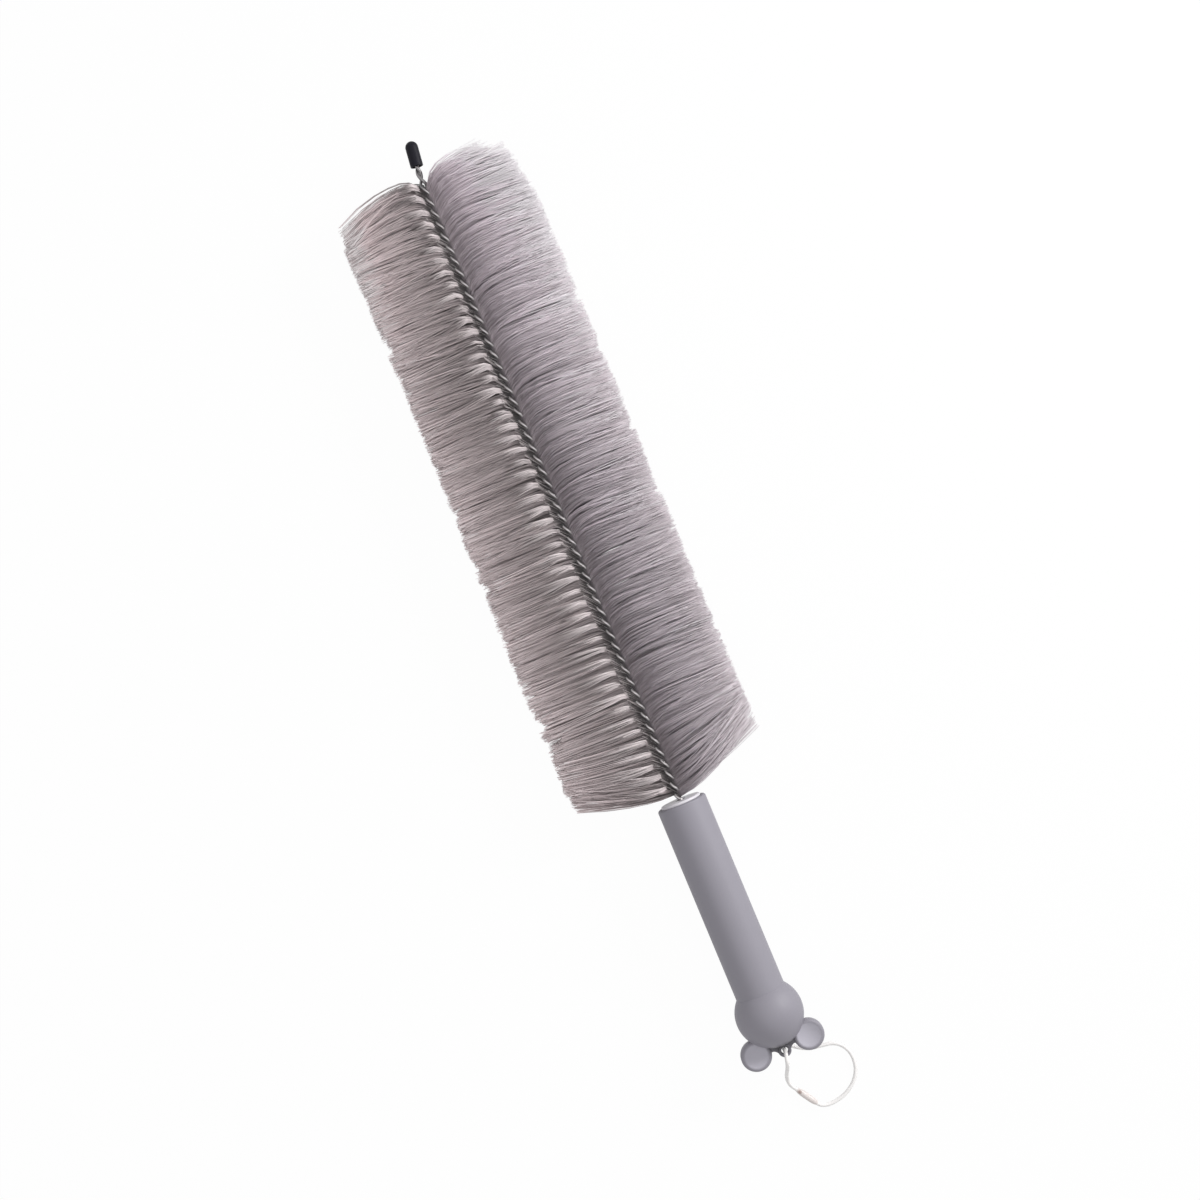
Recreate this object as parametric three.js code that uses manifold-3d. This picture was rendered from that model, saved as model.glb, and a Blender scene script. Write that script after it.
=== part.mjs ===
// Flexible duster: a twisted-wire brush with two flat wings of filaments, on a tube handle with a knob.
// Millimetres, +Z up. The stem runs along +Y towards the tip, and the duster lies on its base.
import * as THREE from 'three';
import { mergeVertices } from 'three/addons/utils/BufferGeometryUtils.js';
import Module from 'manifold-3d';

const wasm = await Module();
wasm.setup();

// Driving dimensions: fits
const fitGap = 0.3; // between two pieces that touch, all round

// Grip tube
const gripDiameter = 25;
const gripWall = 2;
const gripLength = 100.2;
const mouthRounding = 1.2;

// Ball of the knob, with the spigot that plugs into the tube
const knobDiameter = 34;
const knobWall = 2.4;
const spigotLength = 15;
const spigotWall = 2;

// Two dished discs beside the hanging lug
const discDiameter = 15.4;
const discThickness = 6;
const discEdgeRounding = 1.4;
const dishRim = 1.5;
const dishDepth = 1.4;
const discAngle = 39.6; // degrees from the handle's axis
const discSink = 2.9; // how deep a disc is set into the ball

// Hanging lug and the web that ties it to the discs
const lugDiameter = 6.6;
const lugThickness = 3;
const lugSink = 0.6;
const eyeDiameter = 3.4;
const webThickness = 2.2;
const webArch = 2; // how far the web's edge rises between a disc and the lug

// Plug in the mouth of the grip
const plugLength = 19.2;
const plugProud = 1.2;
const plugRounding = 0.6;
const plugFloor = 1.2; // plug left beyond the cut ends of the wires

// Stem: two wires twisted round a layer of filaments
const wireDiameter = 1.6;
const wireGap = 1.2;
const twistPitch = 12.4;
const halfTurnsInLength = 13;
const lengthsOfStem = 4;
const bareStem = 5; // between the mouth and the first filaments
const bareTip = 9.7; // between the last filaments and the cap
const tipLean = 7; // degrees, towards +X
const bendRange = 30; // degrees each way at each bend
const bendGap = 1.4; // between the cut ends of the wire at a bend

// Filaments
const layerWidth = 3.4;
const rowsInTurn = 8;
const strandRootWidth = 0.55; // where the wires pinch a strand
const strandGap = 0.35; // between neighbouring strands
const strandBendGap = 0.1; // left between two strands at a full bend
const strandThickness = 0.6;
const brushWidth = 100;
const brushThickness = 34; // over the crests on each side of the stem
const edgeThickness = 17; // at the outer edges of the wings
const crestReach = 10; // sideways from the stem to where a strand turns outwards
const rootLean = 13; // how far the strands beside the handle sweep towards the tip
const rootLeanFade = 60;
const domeRise = 6; // how far the strands at the tip bulge forwards
const domeDrop = 3; // and fall back at their ends
const domeFade = 40;

// Tip cap
const capLength = 12.8;
const capWall = 0.65;
const capFloor = 3; // rubber beyond the end of the wires

// Hanging cord and the sleeve that joins its ends
const cordDiameter = 2;
const cordSides = 8;
const cordSteps = 52;
const sleeveLength = 12;
const sleeveWall = 0.35;
const sleeveMiddle = new THREE.Vector2(1.4, -29.2); // from the eye
const sleeveHeading = new THREE.Vector2(0.55, -0.835);
const sleeveLift = 0.1; // above the base

// How finely round shapes are cut
const tubeSides = 36;
const ballSides = 32;
const discSides = 28;
const eyeSides = 20;
const plugSides = 28;
const capSides = 18;
const wireSides = 5;
const wireStepsInTurn = 8;
const arcSteps = 4;

// Sizes that follow from those
const gripRadius = gripDiameter / 2;
const gripBore = gripRadius - gripWall;
const knobRadius = knobDiameter / 2;
const seatHeight = Math.sqrt(knobRadius ** 2 - gripRadius ** 2);
const knobCentre = -(gripLength + fitGap + seatHeight);
const discRadius = discDiameter / 2;
const discReach = knobRadius + discRadius - discSink;
const discAcross = discReach * Math.sin(THREE.MathUtils.degToRad(discAngle));
const discAlong = knobCentre - discReach * Math.cos(THREE.MathUtils.degToRad(discAngle));
const lugRadius = lugDiameter / 2;
const eyeAlong = knobCentre - (knobRadius + lugRadius - lugSink);
const helixRadius = (wireGap + wireDiameter) / 2;
const stemRadius = helixRadius + wireDiameter / 2;
const stemBore = stemRadius + fitGap;
const layerThickness = wireGap - 2 * fitGap;
const rowPitch = twistPitch / rowsInTurn;
const strandWidth = rowPitch - strandGap;
const lengthOfStem = (halfTurnsInLength * twistPitch) / 2;
const brushEnd = bareStem + lengthsOfStem * lengthOfStem;
const capStart = brushEnd + bareTip;
const halfBend = THREE.MathUtils.degToRad(bendRange) / 2;
const restHeight = Math.max(knobDiameter, brushThickness) / 2; // from the base up to the stem

const greyPlastic = { color: '#8f8c95', roughness: 0.5, metalness: 0 };
const whitePlastic = { color: '#e6e4e8', roughness: 0.45, metalness: 0 };
const steel = { color: '#6f6b6c', roughness: 0.35, metalness: 1 };
const filament = { color: '#a39b9c', roughness: 0.55, metalness: 0 };
const blackRubber = { color: '#2f2e36', roughness: 0.55, metalness: 0 };
const whiteCord = { color: '#e8e6e5', roughness: 0.6, metalness: 0 };

const duster = new THREE.Group();

function addPiece(name, geometry, finish) {
  const mesh = new THREE.Mesh(geometry, new THREE.MeshStandardMaterial(finish));
  mesh.name = name;
  duster.add(mesh);
  return mesh;
}

function solidFrom(geometry) {
  const bare = geometry.clone();
  bare.deleteAttribute('normal');
  bare.deleteAttribute('uv');
  const merged = mergeVertices(bare);
  const vertProperties = merged.getAttribute('position').array;
  const triVerts = new Uint32Array(merged.index.array);
  return new wasm.Manifold(new wasm.Mesh({ numProp: 3, vertProperties, triVerts }));
}

function geometryFrom(solid) {
  const { vertProperties, triVerts } = solid.getMesh();
  const geometry = new THREE.BufferGeometry();
  geometry.setAttribute('position', new THREE.BufferAttribute(vertProperties, 3));
  geometry.setIndex(new THREE.BufferAttribute(triVerts, 1));
  geometry.computeVertexNormals();
  return geometry;
}

// Points of an arc in a profile, from one angle to another in degrees
function arc(centreX, centreY, radius, fromAngle, toAngle, steps = arcSteps) {
  const points = [];
  for (let i = 0; i <= steps; i += 1) {
    const angle = THREE.MathUtils.degToRad(THREE.MathUtils.lerp(fromAngle, toAngle, i / steps));
    points.push(new THREE.Vector2(centreX + radius * Math.cos(angle), centreY + radius * Math.sin(angle)));
  }
  return points;
}

// Grip tube, with a rounded rim at the mouth
function gripTube() {
  const profile = [
    new THREE.Vector2(gripBore, -gripLength),
    new THREE.Vector2(gripRadius, -gripLength),
    ...arc(gripRadius - mouthRounding, -mouthRounding, mouthRounding, 0, 90),
    new THREE.Vector2(gripBore, 0),
    new THREE.Vector2(gripBore, -gripLength),
  ];
  addPiece('grip_tube', new THREE.LatheGeometry(profile, tubeSides), greyPlastic);
}

// Hollow ball with a flat seat for the tube and a spigot inside it
function ballSolid() {
  const seatAngle = THREE.MathUtils.radToDeg(Math.asin(seatHeight / knobRadius));
  const spigotRadius = gripBore - fitGap;
  const spigotBore = spigotRadius - spigotWall;
  const cavityRadius = knobRadius - knobWall;
  const neckAngle = THREE.MathUtils.radToDeg(Math.acos(spigotBore / cavityRadius));
  const spigotEnd = seatHeight + spigotLength;
  const profile = [
    ...arc(0, 0, knobRadius, -90, 0, 2 * arcSteps),
    ...arc(0, 0, knobRadius, 0, seatAngle).slice(1),
    new THREE.Vector2(spigotRadius, seatHeight),
    new THREE.Vector2(spigotRadius, spigotEnd),
    new THREE.Vector2(spigotBore, spigotEnd),
    ...arc(0, 0, cavityRadius, neckAngle, -90, 2 * arcSteps),
  ];
  profile[0].x = 0;
  profile[profile.length - 1].x = 0;
  return solidFrom(new THREE.LatheGeometry(profile, ballSides).translate(0, knobCentre, 0));
}

// Round disc with a soft edge and a shallow dish on its upper face
function discSolid(side) {
  const half = discThickness / 2;
  const rimRadius = discRadius - discEdgeRounding;
  const dishRadius = discRadius - dishRim;
  const dishCurve = (dishRadius ** 2 + dishDepth ** 2) / (2 * dishDepth);
  const dishAngle = THREE.MathUtils.radToDeg(Math.asin(dishRadius / dishCurve));
  const profile = [
    new THREE.Vector2(0, -half),
    ...arc(rimRadius, discEdgeRounding - half, discEdgeRounding, -90, 0),
    ...arc(rimRadius, half - discEdgeRounding, discEdgeRounding, 0, 90),
    ...arc(0, half - dishDepth + dishCurve, dishCurve, dishAngle - 90, -90),
  ];
  profile[profile.length - 1].x = 0;
  const disc = new THREE.LatheGeometry(profile, discSides);
  return solidFrom(disc.rotateX(Math.PI / 2).translate(side * discAcross, discAlong, 0));
}

function plate(shape, thickness) {
  const options = { depth: thickness, bevelEnabled: false, curveSegments: eyeSides / 2 };
  const geometry = new THREE.ExtrudeGeometry(shape, options);
  return solidFrom(geometry.translate(0, 0, -thickness / 2));
}

// Web under the ball, arched on each side between a disc and the lug
function webSolid() {
  const diagonal = discRadius / 2;
  const lugSide = lugRadius * Math.SQRT1_2;
  const archAcross = (discAcross - discRadius + lugRadius) / 2;
  const archAlong = knobCentre - knobRadius + webArch;
  const shape = new THREE.Shape();
  shape.moveTo(0, knobCentre - knobRadius / 2);
  shape.lineTo(-discAcross, discAlong);
  shape.lineTo(diagonal - discAcross, discAlong - diagonal);
  shape.quadraticCurveTo(-archAcross, archAlong, -lugSide, eyeAlong - lugSide);
  shape.lineTo(lugSide, eyeAlong - lugSide);
  shape.quadraticCurveTo(archAcross, archAlong, discAcross - diagonal, discAlong - diagonal);
  shape.lineTo(discAcross, discAlong);
  shape.closePath();
  return plate(shape, webThickness);
}

function endKnob() {
  const lugOutline = new THREE.Shape().absarc(0, eyeAlong, lugRadius, 0, 2 * Math.PI);
  const eye = new THREE.CylinderGeometry(eyeDiameter / 2, eyeDiameter / 2, 2 * lugThickness, eyeSides);
  const eyeCut = solidFrom(eye.rotateX(Math.PI / 2).translate(0, eyeAlong, 0));
  const knob = ballSolid()
    .add(discSolid(-1))
    .add(discSolid(1))
    .add(webSolid())
    .add(plate(lugOutline, lugThickness))
    .subtract(eyeCut);
  addPiece('end_knob', geometryFrom(knob), greyPlastic);
}

// Plug with a bore that the stem runs into
function stemPlug() {
  const plugRadius = gripBore - fitGap;
  const profile = [
    new THREE.Vector2(stemBore, plugProud - plugLength),
    new THREE.Vector2(plugRadius - plugRounding, plugProud - plugLength),
    new THREE.Vector2(plugRadius, plugProud - plugLength + plugRounding),
    ...arc(plugRadius - plugRounding, plugProud - plugRounding, plugRounding, 0, 90),
    new THREE.Vector2(stemBore, plugProud),
    new THREE.Vector2(stemBore, plugProud - plugLength),
  ];
  addPiece('stem_plug', new THREE.LatheGeometry(profile, plugSides), whitePlastic);
}

// Middle of the stem and its heading: straight through the brush, then curved towards the tip's lean
function stemLine(along) {
  const lean = THREE.MathUtils.degToRad(tipLean);
  const bendRadius = bareTip / lean;
  const turned = THREE.MathUtils.clamp((along - brushEnd) / bendRadius, 0, lean);
  const heading = new THREE.Vector3(Math.sin(turned), Math.cos(turned), 0);
  const point = new THREE.Vector3(bendRadius * (1 - Math.cos(turned)), bendRadius * Math.sin(turned), 0);
  const straight = Math.min(along - brushEnd, 0) + Math.max(along - capStart, 0);
  point.addScaledVector(heading, straight).add(new THREE.Vector3(0, brushEnd, 0));
  return { point, heading };
}

function twistAngle(along) {
  return (2 * Math.PI * (along - bareStem)) / twistPitch;
}

// One of the two twisted wires, between two places along the stem
class TwistedWire extends THREE.Curve {
  constructor(phase, from, to) {
    super();
    this.phase = phase;
    this.from = from;
    this.to = to;
  }

  getPoint(t, target = new THREE.Vector3()) {
    const along = THREE.MathUtils.lerp(this.from, this.to, t);
    const { point, heading } = stemLine(along);
    const angle = twistAngle(along) + this.phase;
    const across = new THREE.Vector3(heading.y, -heading.x, 0);
    target.copy(point).addScaledVector(across, helixRadius * Math.cos(angle));
    target.z += helixRadius * Math.sin(angle);
    return target;
  }
}

function roundSection(radius, sides) {
  const corners = [];
  for (let i = 0; i < sides; i += 1) {
    const angle = (2 * Math.PI * i) / sides;
    corners.push(new THREE.Vector2(radius * Math.cos(angle), radius * Math.sin(angle)));
  }
  return new THREE.Shape(corners);
}

function stemWires() {
  const section = roundSection(wireDiameter / 2, wireSides);
  const wireStart = plugProud - plugLength + plugFloor;
  const wireEnd = capStart + capLength - capFloor;
  const strands = { a: 0, b: Math.PI };
  for (const [letter, phase] of Object.entries(strands)) {
    for (let i = 0; i < lengthsOfStem; i += 1) {
      const first = i === 0;
      const last = i === lengthsOfStem - 1;
      const from = first ? wireStart : bareStem + i * lengthOfStem + bendGap / 2;
      const to = last ? wireEnd : bareStem + (i + 1) * lengthOfStem - bendGap / 2;
      const steps = Math.round((wireStepsInTurn * (to - from)) / twistPitch);
      const extrudePath = new TwistedWire(phase, from, to);
      const wire = new THREE.ExtrudeGeometry(section, { steps, extrudePath });
      addPiece(`stem_wire_${letter}_${i + 1}`, wire, steel);
    }
  }
}

// Where a strand turns outwards and where it ends: sideways, along the stem and up
function strandShape(along, angle, bendDistance) {
  const wing = Math.cos(angle) > 0 ? 1 : -1;
  const steep = Math.sin(angle) / Math.cos(Math.PI / rowsInTurn);
  // Beside a bend a strand lies low enough to stay on its own side of it.
  const clear = bendDistance - (strandWidth + strandBendGap) / 2;
  const room = Math.max(0, clear / Math.tan(halfBend) - strandThickness / 2);
  const crestHeight = Math.min((brushThickness - strandThickness) / 2, room) * steep;
  const tipHeight = Math.min(edgeThickness / 2, room) * steep;
  const tipReach = brushWidth / 2;
  const rootSweep = rootLean * Math.max(0, 1 - (along - bareStem) / rootLeanFade) ** 2;
  const dome = Math.max(0, 1 - (brushEnd - along) / domeFade) ** 2;
  const crestAlong = along + (rootSweep * crestReach) / tipReach + domeRise * dome;
  const tipAlong = along + rootSweep - domeDrop * dome;
  const crest = new THREE.Vector3(wing * crestReach, crestAlong, crestHeight);
  const tip = new THREE.Vector3(wing * tipReach, tipAlong, tipHeight);
  return { crest, tip };
}

// One length of the filament layer, as a twisted ribbon with a strand out of each edge in every row
function bristleGeometry(index) {
  const rows = Math.round(lengthOfStem / rowPitch);
  const positions = [];
  const faces = [];
  const place = (x, y, z) => positions.push(x, y, z) / 3 - 1;
  const addQuad = (a, b, c, d) => faces.push(a, b, c, a, c, d);

  // The four corners of the ribbon at one place along the stem
  const edgeAngle = (along) => twistAngle(along) + Math.PI / 2;
  const addRing = (along) => {
    const angle = edgeAngle(along);
    const corners = [[1, 1], [-1, 1], [-1, -1], [1, -1]];
    return corners.map(([wide, thick]) => {
      const out = (wide * layerWidth) / 2;
      const up = (thick * layerThickness) / 2;
      const x = out * Math.cos(angle) - up * Math.sin(angle);
      const z = out * Math.sin(angle) + up * Math.cos(angle);
      return place(x, along, z);
    });
  };

  const addStrand = (root, along, angle, bendDistance) => {
    const { crest, tip } = strandShape(along, angle, bendDistance);
    const rise = new THREE.Vector2(crest.x, crest.z).normalize();
    const fall = new THREE.Vector2(tip.x - crest.x, tip.z - crest.z).normalize();
    const outwards = rise.add(fall).normalize();
    const corners = [[-1, -1], [1, -1], [1, 1], [-1, 1]];
    const bend = corners.map(([wide, thick]) => {
      const up = (thick * strandThickness) / 2;
      const y = crest.y + (wide * strandWidth) / 2;
      return place(crest.x - up * outwards.y, y, crest.z + up * outwards.x);
    });
    for (let i = 0; i < corners.length; i += 1) {
      const next = (i + 1) % corners.length;
      addQuad(root[i], root[next], bend[next], bend[i]);
    }
    // A strand ends in a thin edge.
    const near = place(tip.x, tip.y - strandWidth / 2, tip.z);
    const far = place(tip.x, tip.y + strandWidth / 2, tip.z);
    addQuad(bend[0], bend[1], far, near);
    addQuad(bend[2], bend[3], near, far);
    faces.push(bend[1], bend[2], far, bend[3], bend[0], near);
  };

  let previous = null;
  for (let row = 0; row < rows; row += 1) {
    const inLength = (row + 0.5) * rowPitch;
    const along = bareStem + index * lengthOfStem + inLength;
    const near = addRing(along - strandRootWidth / 2);
    const far = addRing(along + strandRootWidth / 2);
    if (previous) {
      for (let side = 0; side < 4; side += 1) {
        const next = (side + 1) % 4;
        addQuad(previous[side], near[side], near[next], previous[next]);
      }
    } else {
      addQuad(near[0], near[1], near[2], near[3]);
    }
    addQuad(near[0], far[0], far[1], near[1]);
    addQuad(near[2], far[2], far[3], near[3]);
    const bendDistance = Math.min(inLength, lengthOfStem - inLength);
    addStrand([near[3], far[3], far[0], near[0]], along, edgeAngle(along), bendDistance);
    addStrand([near[1], far[1], far[2], near[2]], along, edgeAngle(along) + Math.PI, bendDistance);
    previous = far;
  }
  addQuad(previous[3], previous[2], previous[1], previous[0]);

  const geometry = new THREE.BufferGeometry();
  geometry.setAttribute('position', new THREE.Float32BufferAttribute(positions, 3));
  geometry.setIndex(faces);
  geometry.computeVertexNormals();
  return geometry;
}

function bristles() {
  for (let i = 0; i < lengthsOfStem; i += 1) {
    addPiece(`bristles_${i + 1}`, bristleGeometry(i), filament);
  }
}

// Round-ended rubber cap over the bare end of the stem
function tipCap() {
  const capRadius = stemBore + capWall;
  const boreDepth = capLength - capFloor + fitGap;
  const profile = [
    new THREE.Vector2(stemBore, 0),
    new THREE.Vector2(capRadius, 0),
    ...arc(0, capLength - capRadius, capRadius, 0, 90, arcSteps + 1),
    new THREE.Vector2(0, boreDepth),
    new THREE.Vector2(stemBore, boreDepth),
    new THREE.Vector2(stemBore, 0),
  ];
  profile[profile.length - 4].x = 0;
  const { point, heading } = stemLine(capStart);
  const cap = addPiece('tip_cap', new THREE.LatheGeometry(profile, capSides), blackRubber);
  cap.position.copy(point);
  cap.rotation.z = -Math.atan2(heading.x, heading.y);
}

// Route of the cord: out of its sleeve, over the lug, down through the eye and round to the sleeve
function cordRoute() {
  const base = -restHeight;
  const sleeveHeight = base + cordDiameter / 2 + fitGap + sleeveWall + sleeveLift;
  const inSleeve = (distance) => {
    const spot = sleeveMiddle.clone().addScaledVector(sleeveHeading, distance);
    return new THREE.Vector3(spot.x, eyeAlong + spot.y, sleeveHeight);
  };
  const fromEye = ([x, y, z]) => new THREE.Vector3(x, eyeAlong + y, z);
  const fromBase = ([x, y, z]) => new THREE.Vector3(x, eyeAlong + y, base + z);
  const overLug = [
    [-3.9, -14.4, -9.4],
    [-3.1, -11.4, -3.6],
    [-2.3, -8.7, 1.6],
    [-1.6, -6.4, 5.0],
    [-0.9, -3.8, 6.4],
    [-0.2, -1.1, 5.2],
    [0, 0, 2.6],
    [0, 0, 0],
    [0, 0, -3.4],
    [0.1, -0.1, -8],
  ];
  const roundTheBase = [
    [0.6, -0.5, 5.0],
    [1.8, -1.4, 2.5],
    [3.8, -2.9, 1.3],
    [6.3, -4.8, 1.1],
    [9.3, -6.6, 1.1],
    [12.7, -7.9, 1.1],
    [16.6, -8.5, 1.1],
    [19.8, -9.0, 1.1],
    [22.9, -9.7, 1.1],
    [25.7, -11.2, 1.1],
    [28.1, -13.8, 1.1],
    [29.6, -17.2, 1.1],
    [30.0, -20.9, 1.1],
    [29.4, -24.8, 1.1],
    [27.9, -28.3, 1.1],
    [25.5, -31.4, 1.1],
    [22.2, -34.0, 1.1],
    [18.2, -35.9, 1.1],
    [13.9, -36.9, 1.2],
    [9.8, -37.0, 1.4],
    [6.6, -36.0, 1.7],
  ];
  return [
    inSleeve(-fitGap),
    inSleeve(-sleeveLength / 4),
    inSleeve(-sleeveLength / 2),
    fromBase([-3.9, -20.9, 1.9]),
    fromBase([-4.4, -17.6, 3.4]),
    ...overLug.map(fromEye),
    ...roundTheBase.map(fromBase),
    inSleeve(sleeveLength / 2),
    inSleeve(sleeveLength / 4),
    inSleeve(fitGap),
  ];
}

function hangCord() {
  const extrudePath = new THREE.CatmullRomCurve3(cordRoute());
  const section = roundSection(cordDiameter / 2, cordSides);
  const cord = new THREE.ExtrudeGeometry(section, { steps: cordSteps, extrudePath });
  addPiece('hang_cord', cord, whiteCord);

  const sleeveBore = cordDiameter / 2 + fitGap;
  const ring = roundSection(sleeveBore + sleeveWall, 2 * cordSides);
  ring.holes.push(roundSection(sleeveBore, 2 * cordSides));
  const sleeveShape = new THREE.ExtrudeGeometry(ring, { depth: sleeveLength, bevelEnabled: false });
  const sleeve = addPiece('cord_sleeve', sleeveShape.translate(0, 0, -sleeveLength / 2), whiteCord);
  const height = -restHeight + sleeveBore + sleeveWall + sleeveLift;
  const heading = new THREE.Vector3(sleeveHeading.x, sleeveHeading.y, 0).normalize();
  sleeve.position.set(sleeveMiddle.x, eyeAlong + sleeveMiddle.y, height);
  sleeve.quaternion.setFromUnitVectors(new THREE.Vector3(0, 0, 1), heading);
  return extrudePath.getLength();
}

gripTube();
endKnob();
stemPlug();
stemWires();
bristles();
tipCap();

// The origin is the middle of the base of everything but the cord.
const extent = new THREE.Box3().setFromObject(duster, true);
const middle = extent.getCenter(new THREE.Vector3());
duster.position.set(-middle.x, -middle.y, restHeight);
const cordLength = hangCord();

console.log(`Mouth of the grip at y ${(-middle.y).toFixed(3)}, stem at z ${restHeight.toFixed(3)}`);
console.log(`Eye at y ${(eyeAlong - middle.y).toFixed(3)}, x shift ${(-middle.x).toFixed(3)}`);
console.log(`Cord length ${cordLength.toFixed(1)}`);

export default duster;
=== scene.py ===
import math

import bmesh
import bpy
from mathutils import Matrix, Vector


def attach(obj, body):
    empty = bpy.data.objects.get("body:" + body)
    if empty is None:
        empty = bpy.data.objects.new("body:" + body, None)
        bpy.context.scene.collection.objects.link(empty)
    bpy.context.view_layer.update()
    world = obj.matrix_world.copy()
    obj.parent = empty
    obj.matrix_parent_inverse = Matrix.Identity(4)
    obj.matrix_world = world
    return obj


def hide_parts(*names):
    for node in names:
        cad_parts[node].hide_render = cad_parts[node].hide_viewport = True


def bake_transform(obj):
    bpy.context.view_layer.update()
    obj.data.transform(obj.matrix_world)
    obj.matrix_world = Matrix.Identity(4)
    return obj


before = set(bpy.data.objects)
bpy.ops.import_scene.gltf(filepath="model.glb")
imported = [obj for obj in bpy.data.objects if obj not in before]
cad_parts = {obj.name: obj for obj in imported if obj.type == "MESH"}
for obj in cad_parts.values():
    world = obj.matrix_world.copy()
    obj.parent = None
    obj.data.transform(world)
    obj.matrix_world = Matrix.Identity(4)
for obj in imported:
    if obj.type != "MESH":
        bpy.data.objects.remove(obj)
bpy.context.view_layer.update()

# Lengths are in metres. The stem lies along +Y at its height above the base, and places along it are
# measured from the mouth, the open end of the grip
stem = {
    "height": 0.017,
    "mouth": -0.106631,
    "eye": -0.238353,
    "brushFrom": 0.005,
    "brushTo": 0.3274,
    "tipBare": 0.0097,
    "tipLean": math.radians(7),
    "pitch": 0.0124,
}
joints = [-0.021031, 0.059569, 0.140169]
bodies = ["handle", "brush_2", "brush_3", "brush_4"]


def onStem(x, along, z):
    return Vector((x, stem["mouth"] + along, stem["height"] + z))


# Camera
cameraLook = {"distance": 1.0, "field": 0.588, "sensor": 36, "aside": 0.0015, "roll": math.radians(-22.67)}


def makeCamera(look):
    data = bpy.data.cameras.new("camera")
    data.sensor_width = look["sensor"]
    data.lens = look["sensor"] * look["distance"] / look["field"]
    camera = bpy.data.objects.new("camera", data)
    bpy.context.collection.objects.link(camera)
    camera.location = (look["aside"], 0, stem["height"] + look["distance"])
    camera.rotation_euler = (0, 0, look["roll"])
    bpy.context.scene.camera = camera
    print("camera made")


makeCamera(cameraLook)


# Nodes
def join(tree, socket, value):
    if isinstance(value, bpy.types.NodeSocket):
        tree.links.new(value, socket)
    elif value is not None:
        socket.default_value = value


def put(tree, kind, *values, **settings):
    node = tree.nodes.new(kind)
    for label, value in settings.items():
        setattr(node, label, value)
    for socket, value in zip(node.inputs, values):
        join(tree, socket, value)
    return node


# Sums on the values of a node tree
class Sums:
    def __init__(self, tree, seed=0):
        self.tree = tree
        self.seed = seed

    def calc(self, operation, *values):
        return put(self.tree, "ShaderNodeMath", *values, operation=operation).outputs[0]

    def times(self, *values):
        total = values[0]
        for value in values[1:]:
            total = self.calc("MULTIPLY", total, value)
        return total

    def plus(self, *values):
        total = values[0]
        for value in values[1:]:
            total = self.calc("ADD", total, value)
        return total

    def mapRange(self, value, fromMin, fromMax, toMin, toMax):
        return put(self.tree, "ShaderNodeMapRange", value, fromMin, fromMax, toMin, toMax).outputs[0]

    # The node's sockets 2, 3, 7 and 8 are the least, the most, the owner and the seed
    def chance(self, low, high, owner, offset):
        node = put(self.tree, "FunctionNodeRandomValue", data_type="FLOAT")
        for place, value in ((2, low), (3, high), (7, owner), (8, self.plus(self.seed, offset))):
            join(self.tree, node.inputs[place], value)
        return node.outputs[1]

    # Rises from 0 towards 1, most of the way within the given share of the strand
    def settle(self, share, within):
        gone = self.calc("DIVIDE", self.times(share, -1), within)
        return self.calc("SUBTRACT", 1, self.calc("EXPONENT", gone))

    # The strand that a point belongs to, its step in it, and its share of the way to the tip
    def strandPoints(self, count, spacing):
        index = put(self.tree, "GeometryNodeInputIndex").outputs[0]
        strand = self.calc("FLOOR", self.calc("DIVIDE", index, count))
        step = self.calc("SUBTRACT", index, self.times(strand, count))
        return strand, step, self.calc("POWER", self.calc("DIVIDE", step, count - 1), spacing)


def mixColours(tree, share, first, second):
    node = put(tree, "ShaderNodeMix", share, data_type="RGBA")
    join(tree, node.inputs[6], first)
    join(tree, node.inputs[7], second)
    return node.outputs[2]


def newMaterial(name):
    material = bpy.data.materials.new(name)
    material.use_nodes = True
    return material, material.node_tree


# Materials
grainLook = {"broadScale": 0.06, "glossSpread": 0.2, "bumpStrength": 0.6}


def grainGroup(look):
    tree = bpy.data.node_groups.new("surfaceGrain", "ShaderNodeTree")
    amounts = [(label, "Float") for label in ("Roughness", "Scale", "Depth", "Mottle")]
    for label, kind in (("Colour", "Color"), *amounts):
        tree.interface.new_socket(label, in_out="INPUT", socket_type="NodeSocket" + kind)
    for label, kind in (("Colour", "Color"), ("Roughness", "Float"), ("Normal", "Vector")):
        tree.interface.new_socket(label, in_out="OUTPUT", socket_type="NodeSocket" + kind)
    given = tree.nodes.new("NodeGroupInput").outputs
    spot = tree.nodes.new("ShaderNodeTexCoord").outputs["Object"]

    def noise(scale):
        node = tree.nodes.new("ShaderNodeTexNoise")
        join(tree, node.inputs["Vector"], spot)
        join(tree, node.inputs["Scale"], scale)
        return node.outputs[0]

    calc = Sums(tree).calc
    fine = noise(given["Scale"])
    broad = noise(calc("MULTIPLY", given["Scale"], look["broadScale"]))
    shade = calc("MULTIPLY_ADD", calc("MULTIPLY_ADD", broad, 2, -1), given["Mottle"], 1)
    tinted = put(tree, "ShaderNodeVectorMath", given["Colour"], operation="SCALE")
    join(tree, tinted.inputs["Scale"], shade)
    uneven = calc("MULTIPLY_ADD", broad, look["glossSpread"], -look["glossSpread"] / 2)
    gloss = calc("ADD", given["Roughness"], uneven)
    bump = put(tree, "ShaderNodeBump")
    bump.inputs["Strength"].default_value = look["bumpStrength"]
    join(tree, bump.inputs["Distance"], given["Depth"])
    join(tree, bump.inputs["Height"], fine)
    put(tree, "NodeGroupOutput", tinted.outputs[0], gloss, bump.outputs[0])
    return tree


surfaceGrain = grainGroup(grainLook)


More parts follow.
